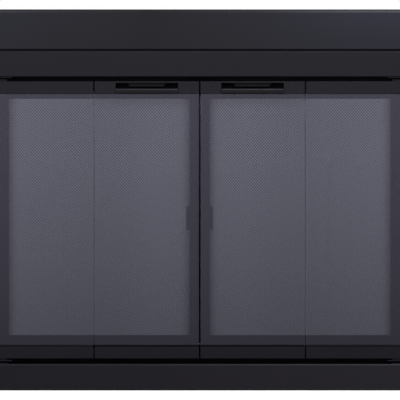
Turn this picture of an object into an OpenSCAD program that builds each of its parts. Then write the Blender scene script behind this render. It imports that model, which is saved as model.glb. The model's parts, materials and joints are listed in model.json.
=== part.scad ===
// Fireplace glass door: a steel frame with two bifold pairs of smoked glass
// panels in front and two framed mesh gates behind them.
// X to the right, front towards -Y, Z up, millimetres.
// The origin is on the hearth, at the middle of the bottom rail's underside.

/* [Frame] */
// Overall width of the frame
overall_w = 952.5; // [900:0.5:1100]
// Overall height of the frame
overall_h = 762; // [720:1:840]
// Depth of the frame from its front face to its back lips
frame_d = 50; // [50:1:60]
// Width of each side jamb's face
jamb_w = 51.75; // [46:0.25:60]
// Height of the bottom rail's face
bottom_rail_h = 53; // [46:1:60]
// Height of the header rail's face
header_h = 51.8; // [46:0.2:60]
// Height of the top fascia's face
fascia_h = 81; // [60:1:100]
// Height of the shadow seam between the header rail and the fascia
seam_h = 2.6; // [2:0.2:5]
// How far the fascia's face lies behind the header rail's
fascia_setback = 1.5; // [0:0.5:4]
// Sheet thickness of the frame and the door rails
sheet_t = 1.5; // [1.2:0.1:2]
// Outer radius of the frame's folded edges
bend_r = 2.5; // [2.2:0.1:3.5]
// Width of the lips folded in at the frame's back
lip_w = 12; // [10:0.5:14]

/* [Glass doors] */
// Gap between two neighbouring panels, and between a panel and its jamb
door_gap = 3; // [3:0.25:4]
// Gap between the bottom rail and the doors
sill_gap = 10.5; // [10.5:0.5:14]
// Gap between the doors and the header rail
head_gap = 8.6; // [8.6:0.2:12]
// Depth of the door rails
door_rail_d = 14; // [14:0.5:16]
// Distance from the frame's front face to the door rails' front face
door_setback = 4; // [3:0.5:5]
// Height of a panel's bottom rail
door_bottom_h = 23.5; // [22:0.5:26]
// Height of a panel's top rail
door_top_h = 25; // [25:0.5:28]
// Thickness of the tempered glass
glass_t = 5; // [4:0.5:6]
// How far the bottom gasket stands above its rail
gasket_rise = 3.6; // [2:0.2:5]
// Distance of the pivot pins and guide pins from their panel's edge
pivot_inset = 12; // [12:0.5:16]
// Distance of the fold axis behind the panels' back faces
fold_back = 2.5; // [2.5:0.1:3]

/* [Handles] */
// Width of a handle
handle_w = 125; // [100:1:140]
// How far a handle's lip stands in front of the rail
handle_proud = 8.4; // [6:0.2:12]
// Width of the finger plate inside a handle's slot
insert_w = 78; // [60:1:90]
// How far each end of the finger plate slants in towards its foot
insert_taper = 5; // [0:0.5:10]

/* [Mesh gates] */
// Width of the gates' frame bars
gate_bar = 19; // [18.5:0.5:24]
// Depth of the gates' frame bars
gate_d = 8; // [8:0.5:10]
// Height of the gates' lower edge
gate_z0 = 89; // [88:0.5:92]
// Distance from the frame's back plane to the gates' back face
gate_setback = 5; // [5:0.5:6]
// Distance of a net's rim from the outer edge of its gate's frame
net_edge = 5; // [4:0.5:10]

/* [Mounting] */
// Distance of the hearth brackets and lintel clamps from the middle
mount_x = 300; // [250:5:350]
// Depth of a hearth bracket's foot behind the frame
hearth_foot = 45; // [40:1:60]
// Reach of a lintel clamp behind the frame
clamp_reach = 72; // [60:1:90]
// Height of the lintel pads' top faces
pad_z = 720; // [705:1:740]

/* [Hidden] */

LEFT = -1;
RIGHT = 1;
// An overlap that makes a cut go clean through a face
cut = 1;
// A small clearance round fixed pins and screws
snug = 0.05;
// The frame's screws: radius, and radius and height of their heads
screw_r = 1.75;
head_r = 3.6;
head_h = 2.4;
screw_len = 6;

// Frame planes
y_front = -frame_d / 2;
y_back = frame_d / 2;
z_fascia = overall_h - fascia_h;
z_header = z_fascia - seam_h - header_h;
x_end = overall_w / 2;
x_jamb = x_end - jamb_w;

// The bar in the shadow seam: its distance from the frame's ends and front, and from its back
spacer_inset = 6;
spacer_back = 4;

// Door planes. The panels of the right pair run from the middle to the jamb.
panel_w = (2 * x_jamb - 5 * door_gap) / 4;
x_lead = door_gap / 2;
x_fold = x_lead + panel_w + door_gap / 2;
x_outer = x_fold + door_gap / 2 + panel_w;
y_rail = y_front + door_setback;
y_mid = y_rail + door_rail_d / 2;
y_rail_back = y_rail + door_rail_d;
z_door = bottom_rail_h + sill_gap;
z_door_top = z_header - head_gap;
z_top_rail = z_door_top - door_top_h;
rail_r = 1;

// Joint axes
x_pivot = x_outer - pivot_inset;
x_guide = x_lead + pivot_inset;
y_fold = y_rail_back + fold_back;

// Glass and gaskets
groove_w = door_rail_d - 2 * sheet_t;
gasket_web = 2;
groove_top = 10;
z_groove_bottom = z_door + 7;
z_glass = z_groove_bottom + gasket_web;
z_glass_top = z_top_rail + groove_top - gasket_web;
glass_gap = 0.4;
seal_w = 2;
seal_t = 1.6;
seal_play = 0.5;
seal_end = 1.5;

// The strip over the middle seam: width of its base and its leg, depths, and lap past the seam
strip_w = 5;
strip_leg = 3;
strip_foot = 2.5;
strip_t = 1.5;
strip_lap = 1.5;
strip_end = 2;

// Pivot pins, bushings and brackets
pin_r = 3;
pin_play = 0.06;
pin_reach = 8;
pin_root = 6;
low_pin_root = 5;
bush_r = 5;
bush_play = 0.5;
bush_reach = 10;
bush_cap = 1.4;
flange_r = 7;
flange_t = 1.7;
plate_len = 36;
plate_r = 1.2;
top_plate_t = 4;
bottom_plate_t = 2;
leaf_t = 2;
leaf_len = 49;
leaf_y0 = y_rail - 1;
leaf_w = 18;
z_leaf = bottom_rail_h + 5.5;
z_low_pin = bottom_rail_h + 2.5;
foot_len = 41;

// Guide track
track_w = 16;
track_h = 13;
track_t = 1.5;
roller_r = 5.5;
roller_h = 8;
roller_lift = 1.5;
guide_past = 1;
collar_r = 6;
collar_h = 3;
slot_half = 4.5;
slot_x0 = 7;
slot_end = 2;
x_track = x_pivot - 35;

// Fold hinges
hinge_h = 21;
hinge_len = 29;
hinge_t = 1.5;
knuckle_r = 2.4;
hinge_pin_r = 1;
hinge_pin_past = 0.5;
knuckle_gap = 0.4;
leaf_start = 2;
knuckle_arm = 3;
knuckle_room = 3.2;
arm_gap = 0.1;
low_hinge_rise = 1;
top_hinge_rise = 2;

// Handles
x_handle = x_lead + panel_w / 2;
z_slot = z_top_rail + groove_top + 0.5;
z_slot_top = z_door_top - 3;
lip_r = 1.4;
pull_t = 1.5;
pull_gap = 0.6;
pull_foot = 2.6;
lip_foot = 2.6;
// The trough behind the pull's lip: depth of its floor in front of the rail's face, drop of its
// floor and of its front edge under the pull's top
trough_y = 0.9;
trough_floor = 5.2;
trough_front = 1.6;
insert_back = 3;
insert_drop = 7.6;

// Mesh gates
gate_t = 1.2;
y_gate = y_back - gate_setback - gate_d;
x_gate = x_outer - 17.5;
z_gate_top = z_top_rail + 11;
x_gate_pin = x_gate - 6;
y_gate_pin = y_gate + gate_d / 2;
gate_pin_r = 2.5;
net_t = 0.5;
retainer_w = 5.5;
retainer_t = 2;
retainer_lap = 1;
gate_pull_h = 48;
z_gate_pull = 344;
tab_w = 9;
tab_past = 6.5;
tab_proud = 7;
hinge_block_w = 10.8;
hinge_block_h = 12;
shoulder = 1.5;
gate_pin_past = 0.7;

// The channel round the gates: its lips in front and legs behind
stop_play = 3;
stop_lap = 1.5;
y_stop = y_gate - 5.5;
y_stop_back = y_back - gate_setback;
x_stop = x_gate + stop_play;
z_stop = gate_z0 - stop_play;
z_head_stop = z_gate_top + stop_play;
strike_w = 12;
strike_h = 15;
catch_x0 = 4;
catch_x1 = 26;
catch_play = 1;

// The small angles under and over the gates' pins
gate_plate_in = 11;
gate_plate_out = 9;
gate_plate_front = 2;
gate_plate_leg = 16;

// Corner brackets
corner_t = 2;
corner_leg = 40;
corner_half = 15;
corner_screws = [18, 34];

// Lintel clamps and hearth brackets
bracket_t = 2;
bracket_w = 40;
bracket_gap = 1;
bracket_screws = [-12, 12];
bracket_screw_z = 6;
z_clamp = z_header + header_h - 4;
y_clamp_bolt = y_back + clamp_reach - 16;
y_hearth_hole = y_back + hearth_foot - 18;
hearth_hole_r = 3.5;
bolt_r = 3;
bolt_drop = 26;
bolt_play = 0.3;
pad_r = 11;
pad_t = 3;
nut_r = 6.5;
nut_h = 9;
wing_w = 30;
wing_h = 10;
wing_t = 2.4;
wing_drop = 3;

// ---------------------------------------------------------------- helpers

// Draws a right-hand piece, or its mirror image on the left
module sided(side) {
    if (side == LEFT) mirror([1, 0, 0]) children();
    else children();
}

// A box between two corners
module box(low, high) {
    translate(low) cube(high - low);
}

// A rod along Z between two heights
module rod(x, y, z0, z1, r) {
    translate([x, y, z0]) cylinder(h = z1 - z0, r = r, $fn = 48);
}

// A rectangle with four rounded corners
module round_rect(w, h, r) {
    translate([r, 0]) square([w - 2 * r, h]);
    translate([0, r]) square([w, h - 2 * r]);
    for (x = [r, w - r], y = [r, h - r]) translate([x, y]) circle(r, $fn = 32);
}

// Extrudes a profile of depth and height along X
module along_x(x0, x1, y, z) {
    translate([x0, y, z]) rotate([90, 0, 90]) linear_extrude(x1 - x0) children();
}

// A folded rail with closed ends and an opening between two lips at its back
module folded_rail(y0, z0, d, h) {
    t = sheet_t;
    difference() {
        along_x(-x_end, x_end, y0, z0) round_rect(d, h, bend_r);
        along_x(-x_end + t, x_end - t, y0 + t, z0 + t) round_rect(d - 2 * t, h - 2 * t, bend_r - t);
        box([-x_end + lip_w, y0 + d - 2 * t, z0 + lip_w], [x_end - lip_w, y0 + d + cut, z0 + h - lip_w]);
    }
}

// A pan head with its shank, pointing down from the origin
module screw(length) {
    cylinder(h = head_h, r = head_r, $fn = 32);
    translate([0, 0, -length]) cylinder(h = length, r = screw_r, $fn = 24);
}

// The hole for a screw's shank, down from the origin
module screw_hole(depth) {
    translate([0, 0, -depth]) cylinder(h = depth + cut, r = screw_r + snug, $fn = 24);
}

// Places of the corner bracket screws, in each of the four corners
module at_corner_screws() {
    for (side = [LEFT, RIGHT], dx = corner_screws) sided(side) {
        translate([x_jamb + dx, 0, bottom_rail_h]) children();
        translate([x_jamb + dx, 0, z_header]) rotate([180, 0, 0]) children();
    }
}

// Places of the screws through the hearth brackets and the lintel clamps
module at_bracket_screws() {
    rows = [bottom_rail_h - bracket_screw_z, z_header + bracket_screw_z];
    for (side = [LEFT, RIGHT], dx = bracket_screws, z = rows) {
        translate([side * mount_x + dx, y_back, z]) rotate([-90, 0, 0]) children();
    }
}

// ---------------------------------------------------------------- frame

// The deep plate across the top
module top_fascia() {
    color([0.19, 0.19, 0.21])
        folded_rail(y_front + fascia_setback, z_fascia, frame_d - fascia_setback, fascia_h);
}

// The set-back bar that carries the fascia and makes the shadow seam
module fascia_spacer() {
    color([0.08, 0.08, 0.09])
        box([-x_end + spacer_inset, y_front + spacer_inset, z_fascia - seam_h],
            [x_end - spacer_inset, y_back - spacer_back, z_fascia]);
}

// The rail over the doors, slotted below for the guide pins
module header_rail() {
    color([0.17, 0.17, 0.18]) difference() {
        folded_rail(y_front, z_header, frame_d, header_h);
        for (side = [LEFT, RIGHT]) sided(side) {
            box([slot_x0, y_mid - slot_half, z_header - cut],
                [x_track - slot_end, y_mid + slot_half, z_header + 2 * sheet_t]);
            rod(x_pivot, y_mid, z_header - cut, z_header + 2 * sheet_t, bush_r + bush_play);
        }
        at_corner_screws() screw_hole(sheet_t + cut);
        at_bracket_screws() screw_hole(sheet_t + cut);
    }
}

// The rail that stands on the hearth
module bottom_rail() {
    color([0.14, 0.14, 0.15]) difference() {
        folded_rail(y_front, 0, frame_d, bottom_rail_h);
        at_corner_screws() screw_hole(sheet_t + cut);
        at_bracket_screws() screw_hole(sheet_t + cut);
    }
}

// One upright of the frame, open at its back
module side_jamb(side) {
    color([0.16, 0.16, 0.17]) sided(side)
        translate([x_jamb, y_front, bottom_rail_h]) rotate([0, 0, 90]) mirror([0, 1, 0])
            linear_extrude(z_header - bottom_rail_h) difference() {
                round_rect(frame_d, jamb_w, bend_r);
                translate([sheet_t, sheet_t])
                    round_rect(frame_d - 2 * sheet_t, jamb_w - 2 * sheet_t, bend_r - sheet_t);
                translate([frame_d - 2 * sheet_t, lip_w]) square([3 * sheet_t, jamb_w - 2 * lip_w]);
            }
}

// The channel round the gates, with lips in front that they close against
module gate_stop_frame() {
    t = sheet_t;
    y1 = y_stop_back;
    x_lip = x_gate - stop_lap;
    z_lip = gate_z0 + stop_lap;
    z_head_lip = z_gate_top - stop_lap;
    color([0.10, 0.10, 0.11]) {
        for (side = [LEFT, RIGHT]) sided(side) {
            box([x_jamb - t, y_stop, bottom_rail_h], [x_jamb, y1, z_header]);
            box([x_lip, y_stop, bottom_rail_h], [x_jamb - t, y_stop + t, z_header]);
            box([x_stop, y1 - t, bottom_rail_h], [x_jamb - t, y1, z_header]);
        }
        box([-x_stop, y_stop, bottom_rail_h], [x_stop, y1, bottom_rail_h + t]);
        box([-x_lip, y_stop, bottom_rail_h + t], [x_lip, y_stop + t, z_lip]);
        box([-x_stop, y1 - t, bottom_rail_h + t], [x_stop, y1, z_stop]);
        box([-x_stop, y_stop, z_header - t], [x_stop, y1, z_header]);
        box([-x_lip, y_stop, z_head_lip], [x_lip, y_stop + t, z_header - t]);
        box([-x_stop, y1 - t, z_head_stop], [x_stop, y1, z_header - t]);
        box([-strike_w / 2, y_stop, z_gate_top - strike_h], [strike_w / 2, y_stop + t, z_head_lip]);
    }
}

// Angles inside the jambs that join them to the rails
module corner_brackets() {
    x0 = x_jamb + sheet_t;
    t = corner_t;
    color([0.55, 0.56, 0.58]) difference() {
        for (side = [LEFT, RIGHT]) sided(side) {
            box([x0, -corner_half, bottom_rail_h], [x0 + corner_leg, corner_half, bottom_rail_h + t]);
            box([x0, -corner_half, bottom_rail_h + t], [x0 + t, corner_half, bottom_rail_h + corner_leg]);
            box([x0, -corner_half, z_header - t], [x0 + corner_leg, corner_half, z_header]);
            box([x0, -corner_half, z_header - corner_leg], [x0 + t, corner_half, z_header - t]);
        }
        at_corner_screws() translate([0, 0, t]) screw_hole(t + cut);
    }
}

// Screws of the corner brackets, hearth brackets and lintel clamps
module frame_screws() {
    color([0.45, 0.45, 0.47]) {
        at_corner_screws() translate([0, 0, corner_t]) screw(screw_len);
        at_bracket_screws() translate([0, 0, bracket_t]) screw(screw_len);
    }
}

// A channel above the header's slots in which the guide rollers run
module guide_track() {
    color([0.50, 0.51, 0.53]) translate([0, y_mid, z_header + sheet_t]) difference() {
        box([-x_track, -track_w / 2, 0], [x_track, track_w / 2, track_h]);
        box([-x_track - cut, -track_w / 2 + track_t, -cut],
            [x_track + cut, track_w / 2 - track_t, track_h - track_t]);
    }
}

// Brackets at the four door corners that hold the pivot bushings
module pivot_brackets() {
    y1 = leaf_y0 + leaf_w;
    color([0.20, 0.20, 0.21]) for (side = [LEFT, RIGHT]) sided(side) {
        difference() {
            box([x_jamb - leaf_len, leaf_y0, z_header - leaf_t], [x_jamb, y1, z_header]);
            rod(x_pivot, y_mid, z_header - leaf_t - cut, z_header + cut, bush_r + snug);
        }
        difference() {
            union() {
                box([x_jamb - leaf_len, leaf_y0, z_leaf], [x_jamb, y1, z_leaf + leaf_t]);
                box([x_jamb - leaf_t, leaf_y0, bottom_rail_h], [x_jamb, y1, z_leaf]);
                box([x_jamb - foot_len, leaf_y0, bottom_rail_h], [x_jamb, y1, bottom_rail_h + sheet_t]);
            }
            rod(x_pivot, y_mid, z_leaf - cut, z_leaf + leaf_t + cut, bush_r + snug);
        }
    }
}

// Flanged bushings in the pivot brackets, capped over the upper pins
module pivot_bushings() {
    z_top = z_header + bush_reach;
    z_top_flange = z_header - leaf_t - flange_t;
    z_low_flange = z_door - bottom_plate_t;
    color([0.82, 0.80, 0.74]) for (side = [LEFT, RIGHT]) sided(side) {
        difference() {
            union() {
                rod(x_pivot, y_mid, z_header - leaf_t, z_top, bush_r);
                rod(x_pivot, y_mid, z_top_flange, z_header - leaf_t, flange_r);
            }
            rod(x_pivot, y_mid, z_top_flange - cut, z_top - bush_cap, pin_r + pin_play);
        }
        difference() {
            union() {
                rod(x_pivot, y_mid, z_low_pin, z_leaf + leaf_t, bush_r);
                rod(x_pivot, y_mid, z_leaf + leaf_t, z_low_flange, flange_r);
            }
            rod(x_pivot, y_mid, z_low_pin - cut, z_low_flange + cut, pin_r + pin_play);
        }
    }
}

// Small angles on the stop frame in which the gates' pins turn
module gate_pivot_brackets() {
    t = sheet_t;
    x0 = x_gate_pin - gate_plate_in;
    x1 = x_gate_pin + gate_plate_out;
    y0 = y_gate - gate_plate_front;
    y1 = y_stop_back - t;
    color([0.20, 0.20, 0.21]) for (side = [LEFT, RIGHT]) sided(side) difference() {
        union() {
            box([x0, y0, z_stop], [x1, y1 + t, z_stop + t]);
            box([x0, y1 - t, z_stop - gate_plate_leg], [x1, y1, z_stop]);
            box([x0, y0, z_head_stop - t], [x1, y1 + t, z_head_stop]);
            box([x0, y1 - t, z_head_stop], [x1, y1, z_head_stop + gate_plate_leg]);
        }
        rod(x_gate_pin, y_gate_pin, z_stop - cut, z_stop + t + cut, gate_pin_r + snug);
        rod(x_gate_pin, y_gate_pin, z_head_stop - t - cut, z_head_stop + cut, gate_pin_r + snug);
    }
}

// Magnet blocks over the gates' meeting stiles
module gate_catches() {
    color([0.12, 0.12, 0.13]) for (side = [LEFT, RIGHT]) sided(side)
        box([catch_x0, y_gate + catch_play, z_gate_top + catch_play],
            [catch_x1, y_stop_back - sheet_t, z_header - sheet_t]);
}

// Brackets that reach back under the lintel
module lintel_clamps() {
    t = bracket_t;
    w = bracket_w / 2;
    color([0.55, 0.56, 0.58]) difference() {
        for (side = [LEFT, RIGHT]) translate([side * mount_x, y_back, 0]) {
            box([-w, 0, z_header + bracket_gap], [w, t, z_clamp]);
            box([-w, 0, z_clamp], [w, clamp_reach, z_clamp + t]);
        }
        for (side = [LEFT, RIGHT])
            rod(side * mount_x, y_clamp_bolt, z_clamp - cut, z_clamp + t + cut, bolt_r + bolt_play);
        at_bracket_screws() translate([0, 0, t]) screw_hole(t + cut);
    }
}

// Bolts with a pad at the top and a wing nut under the bracket
module clamp_bolts() {
    z_wing = z_clamp - wing_drop;
    color([0.62, 0.62, 0.64]) for (side = [LEFT, RIGHT]) translate([side * mount_x, y_clamp_bolt, 0]) {
        rod(0, 0, z_clamp - bolt_drop, pad_z - pad_t, bolt_r);
        rod(0, 0, pad_z - pad_t, pad_z, pad_r);
        difference() {
            union() {
                rod(0, 0, z_clamp - nut_h, z_clamp, nut_r);
                box([-wing_w / 2, -wing_t / 2, z_wing - wing_h], [wing_w / 2, wing_t / 2, z_wing]);
            }
            rod(0, 0, z_wing - wing_h - cut, z_clamp + cut, bolt_r + snug);
        }
    }
}

// Angles behind the bottom rail that are screwed to the hearth
module hearth_brackets() {
    t = bracket_t;
    w = bracket_w / 2;
    color([0.55, 0.56, 0.58]) difference() {
        for (side = [LEFT, RIGHT]) translate([side * mount_x, y_back, 0]) {
            box([-w, 0, t], [w, t, bottom_rail_h - bracket_gap]);
            box([-w, 0, 0], [w, hearth_foot, t]);
        }
        for (side = [LEFT, RIGHT]) rod(side * mount_x, y_hearth_hole, -cut, t + cut, hearth_hole_r);
        at_bracket_screws() translate([0, 0, t]) screw_hole(t + cut);
    }
}

// ---------------------------------------------------------------- glass doors

// A panel's bottom rail: a channel with a closed hollow under the groove
module door_bottom_rail(side, x0) {
    x1 = x0 + panel_w;
    color([0.14, 0.14, 0.15]) sided(side) difference() {
        along_x(x0, x1, y_rail, z_door) union() {
            round_rect(door_rail_d, door_bottom_h, rail_r);
            translate([0, rail_r]) square([door_rail_d, door_bottom_h - rail_r]);
        }
        box([x0 - cut, y_rail + sheet_t, z_groove_bottom],
            [x1 + cut, y_rail_back - sheet_t, z_door + door_bottom_h + cut]);
        box([x0 + sheet_t, y_rail + sheet_t, z_door + sheet_t],
            [x1 - sheet_t, y_rail_back - sheet_t, z_groove_bottom + cut]);
        children();
    }
}

// A panel's top rail: a channel with a closed hollow over the groove
module door_top_rail(side, x0) {
    x1 = x0 + panel_w;
    color([0.16, 0.16, 0.17]) sided(side) difference() {
        along_x(x0, x1, y_rail, z_top_rail) union() {
            round_rect(door_rail_d, door_top_h, rail_r);
            square([door_rail_d, door_top_h - rail_r]);
        }
        box([x0 - cut, y_rail + sheet_t, z_top_rail - cut],
            [x1 + cut, y_rail_back - sheet_t, z_top_rail + groove_top]);
        box([x0 + sheet_t, y_rail + sheet_t, z_top_rail + groove_top - cut],
            [x1 - sheet_t, y_rail_back - sheet_t, z_door_top - sheet_t]);
        children();
    }
}

// The hole in a rail for a pin of the door
module pin_hole(x, z) {
    rod(x, y_mid, z - sheet_t - cut, z + sheet_t + cut, pin_r + snug);
}

module outer_top_rail(side) {
    door_top_rail(side, x_outer - panel_w) pin_hole(x_pivot, z_door_top);
}

module outer_bottom_rail(side) {
    door_bottom_rail(side, x_outer - panel_w) pin_hole(x_pivot, z_door);
}

// The inner panel's top rail, with the handle's slot in its front wall
module inner_top_rail(side) {
    door_top_rail(side, x_lead) {
        pin_hole(x_guide, z_door_top);
        box([x_handle - handle_w / 2, y_rail - cut, z_slot],
            [x_handle + handle_w / 2, y_rail + sheet_t + cut, z_slot_top]);
    }
}

module inner_bottom_rail(side) {
    door_bottom_rail(side, x_lead);
}

// A pane, which reaches past its rails towards the fold
module pane(side, x0, x1) {
    color([0.30, 0.30, 0.34, 0.5]) sided(side)
        box([x0, y_mid - glass_t / 2, z_glass], [x1, y_mid + glass_t / 2, z_glass_top]);
}

module outer_glass(side) {
    pane(side, x_fold + glass_gap / 2, x_outer);
}

module inner_glass(side) {
    pane(side, x_lead, x_fold - glass_gap / 2);
}

// Rubber channels between a pane and its two rails
module gaskets(side, x0) {
    x1 = x0 + panel_w;
    y0 = y_rail + sheet_t;
    z_top = z_door + door_bottom_h + gasket_rise;
    color([0.05, 0.05, 0.05]) sided(side) {
        difference() {
            box([x0, y0, z_groove_bottom], [x1, y0 + groove_w, z_top]);
            box([x0 - cut, y_mid - glass_t / 2, z_glass], [x1 + cut, y_mid + glass_t / 2, z_top + cut]);
        }
        difference() {
            box([x0, y0, z_top_rail], [x1, y0 + groove_w, z_top_rail + groove_top]);
            box([x0 - cut, y_mid - glass_t / 2, z_top_rail - cut],
                [x1 + cut, y_mid + glass_t / 2, z_glass_top]);
        }
    }
}

// The inner panel's rubber: its two channels and the seal behind the fold
module inner_gaskets(side) {
    y0 = y_mid + glass_t / 2;
    z0 = z_door + door_bottom_h + gasket_rise + seal_end;
    z1 = z_top_rail - seal_end;
    gaskets(side, x_lead);
    color([0.05, 0.05, 0.05]) sided(side) {
        box([x_fold - seal_w / 2, y0, z0], [x_fold - glass_gap, y0 + seal_t, z1]);
        box([x_fold - glass_gap, y0 + seal_play, z0], [x_fold + seal_w / 2, y0 + seal_t, z1]);
    }
}

// Pins on small plates at the top and bottom of an outer panel
module pivot_pins(side) {
    x0 = x_outer - plate_len;
    color([0.30, 0.30, 0.32]) sided(side) {
        along_x(x0, x_outer, y_rail, z_door_top) union() {
            round_rect(door_rail_d, top_plate_t, plate_r);
            square([door_rail_d, top_plate_t / 2]);
        }
        rod(x_pivot, y_mid, z_door_top - pin_root, z_header + pin_reach, pin_r);
        box([x0, y_rail, z_door - bottom_plate_t], [x_outer, y_rail_back, z_door]);
        rod(x_pivot, y_mid, z_low_pin, z_door + low_pin_root, pin_r);
    }
}

// Heights of the lower and upper fold hinge
function hinge_z() = [z_door + low_hinge_rise, z_top_rail + top_hinge_rise];

// One leaf of a fold hinge with its knuckles, drawn beside the fold axis
module hinge_leaf(z, toward, knuckles) {
    third = hinge_h / 3;
    x_leaf = [toward * leaf_start, toward * hinge_len];
    x_arm = [0, toward * knuckle_arm];
    room = knuckle_room;
    reach = knuckle_r + cut;
    difference() {
        union() {
            translate([x_fold, y_rail_back, z])
                box([min(x_leaf), 0, 0], [max(x_leaf), hinge_t, hinge_h]);
            for (k = knuckles) intersection() {
                union() {
                    rod(x_fold, y_fold, z, z + hinge_h, knuckle_r);
                    translate([x_fold, y_rail_back, z])
                        box([min(x_arm), arm_gap, 0], [max(x_arm), hinge_t, hinge_h]);
                }
                box([x_fold - room, y_rail_back, z + k * third + (k == 1 ? knuckle_gap : 0)],
                    [x_fold + room, y_fold + reach, z + (k + 1) * third - (k == 1 ? knuckle_gap : 0)]);
            }
        }
        for (k = [0:2]) if (len(search(k, knuckles)) == 0)
            box([x_fold - room, y_rail_back - cut, z + k * third],
                [x_fold + room, y_fold + reach, z + (k + 1) * third]);
        rod(x_fold, y_fold, z - cut, z + hinge_h + cut, hinge_pin_r + pin_play);
    }
}

module outer_hinge_leaves(side) {
    color([0.22, 0.22, 0.23]) sided(side) for (z = hinge_z()) hinge_leaf(z, 1, [0, 2]);
}

module inner_hinge_leaves(side) {
    color([0.22, 0.22, 0.23]) sided(side) for (z = hinge_z()) hinge_leaf(z, -1, [1]);
}

// Pins of the fold hinges
module hinge_pins(side) {
    color([0.60, 0.60, 0.62]) sided(side) for (z = hinge_z())
        rod(x_fold, y_fold, z - hinge_pin_past, z + hinge_h + hinge_pin_past, hinge_pin_r);
}

// The pin on an inner panel that follows the track
module guide_pin(side) {
    z1 = z_header + sheet_t + roller_lift + roller_h + guide_past;
    color([0.20, 0.20, 0.21]) sided(side) {
        rod(x_guide, y_mid, z_door_top - pin_root, z1, pin_r);
        rod(x_guide, y_mid, z_door_top, z_door_top + collar_h, collar_r);
    }
}

// The roller on the guide pin
module guide_roller(side) {
    z0 = z_header + sheet_t + roller_lift;
    color([0.82, 0.80, 0.74]) sided(side) difference() {
        rod(x_guide, y_mid, z0, z0 + roller_h, roller_r);
        rod(x_guide, y_mid, z0 - cut, z0 + roller_h + cut, pin_r + snug);
    }
}

// Outline of a handle's scoop: depth in front of the rail, and height
module scoop_2d() {
    z0 = z_top_rail + pull_gap;
    z1 = z_slot - pull_gap;
    y_lip = lip_r - handle_proud;
    polygon([
        [0, z0], [-pull_t, z0], [-pull_t, z0 + pull_foot],
        [y_lip, z1 - lip_foot], [y_lip, z1], [0, z1]
    ]);
}

// Outline of the trough behind the lip: depth in front of the rail, and height
module trough_2d() {
    z1 = z_slot - pull_gap;
    y_inner = pull_t + lip_r - handle_proud;
    polygon([
        [-trough_y, z1 - trough_floor], [y_inner, z1 - trough_front],
        [y_inner, z1 + cut], [cut, z1 + cut], [cut, z1 - trough_floor]
    ]);
}

// The pull: a scoop whose rolled lip stands in front of the slot
module handle_pull(side) {
    x0 = x_handle - handle_w / 2;
    x1 = x_handle + handle_w / 2;
    z_lip = z_slot - pull_gap - lip_r;
    color([0.17, 0.17, 0.18]) sided(side) {
        difference() {
            along_x(x0, x1, y_rail, 0) scoop_2d();
            along_x(x0 + pull_t, x1 - pull_t, y_rail, 0) trough_2d();
        }
        translate([x0, y_rail - handle_proud + lip_r, z_lip]) rotate([0, 90, 0])
            cylinder(h = handle_w, r = lip_r, $fn = 32);
    }
}

// The finger plate that hangs inside a handle's slot
module handle_insert(side) {
    t = sheet_t;
    half = insert_w / 2;
    foot = half - insert_taper;
    y0 = y_rail + insert_back + t;
    z0 = z_slot_top - insert_drop;
    z1 = z_door_top - t;
    color([0.24, 0.24, 0.26]) sided(side) {
        translate([x_handle, y0, 0]) rotate([90, 0, 0]) linear_extrude(t)
            polygon([[-foot, z0], [foot, z0], [half, z1], [-half, z1]]);
        box([x_handle - half, y0, z1 - t], [x_handle + half, y_rail_back - t, z1]);
    }
}

// The strip on the left pair's leading edge that covers the middle seam
module astragal() {
    y0 = y_mid + glass_t / 2;
    y1 = y0 + strip_foot;
    z0 = z_door + door_bottom_h + strip_w;
    z1 = z_top_rail - strip_end;
    x0 = -x_lead - strip_w;
    color([0.05, 0.05, 0.05]) {
        box([x0, y0, z0], [x0 + strip_leg, y1, z1]);
        box([x0, y1, z0], [x_lead + strip_lap, y1 + strip_t, z1]);
    }
}

// ---------------------------------------------------------------- mesh gates

// Four angle bars round a gate
module gate_frame(side) {
    x0 = x_lead;
    b = gate_bar;
    t = gate_t;
    y1 = y_gate + gate_d;
    color([0.15, 0.15, 0.16]) sided(side) {
        box([x0, y_gate, gate_z0], [x0 + b, y_gate + t, z_gate_top]);
        box([x0, y_gate + t, gate_z0], [x0 + t, y1, z_gate_top]);
        box([x_gate - b, y_gate, gate_z0], [x_gate, y_gate + t, z_gate_top]);
        box([x_gate - t, y_gate + t, gate_z0], [x_gate, y1, z_gate_top]);
        box([x0 + b, y_gate, gate_z0], [x_gate - b, y_gate + t, gate_z0 + b]);
        box([x0 + b, y_gate + t, gate_z0], [x_gate - b, y1, gate_z0 + t]);
        box([x0 + b, y_gate, z_gate_top - b], [x_gate - b, y_gate + t, z_gate_top]);
        box([x0 + b, y_gate + t, z_gate_top - t], [x_gate - b, y1, z_gate_top]);
    }
}

// The net, as one thin sheet whose rim lies behind the frame bars
module gate_net(side) {
    e = net_edge;
    y0 = y_gate + gate_t;
    color([0.30, 0.30, 0.32]) sided(side)
        box([x_lead + e, y0, gate_z0 + e], [x_gate - e, y0 + net_t, z_gate_top - e]);
}

// Four flat bars that press the net against the gate's frame
module gate_retainer(side) {
    y0 = y_gate + gate_t + net_t;
    y1 = y0 + retainer_t;
    inner = gate_bar - retainer_lap;
    x0 = x_lead + inner;
    x1 = x_gate - inner;
    z0 = gate_z0 + inner;
    z1 = z_gate_top - inner;
    w = retainer_w;
    color([0.15, 0.15, 0.16]) sided(side) {
        box([x0 - w, y0, z0 - w], [x0, y1, z1 + w]);
        box([x1, y0, z0 - w], [x1 + w, y1, z1 + w]);
        box([x0, y0, z0 - w], [x1, y1, z0]);
        box([x0, y0, z1], [x1, y1, z1 + w]);
    }
}

// The finger tab on a gate's meeting stile
module gate_pull(side) {
    x1 = x_lead + gate_bar + tab_past;
    z0 = z_gate_pull - gate_pull_h / 2;
    z1 = z_gate_pull + gate_pull_h / 2;
    t = sheet_t;
    color([0.12, 0.12, 0.13]) sided(side) {
        box([x1 - tab_w, y_gate - t, z0], [x1, y_gate, z1]);
        box([x1 - t, y_gate - tab_proud, z0], [x1, y_gate - t, z1]);
    }
}

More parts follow.
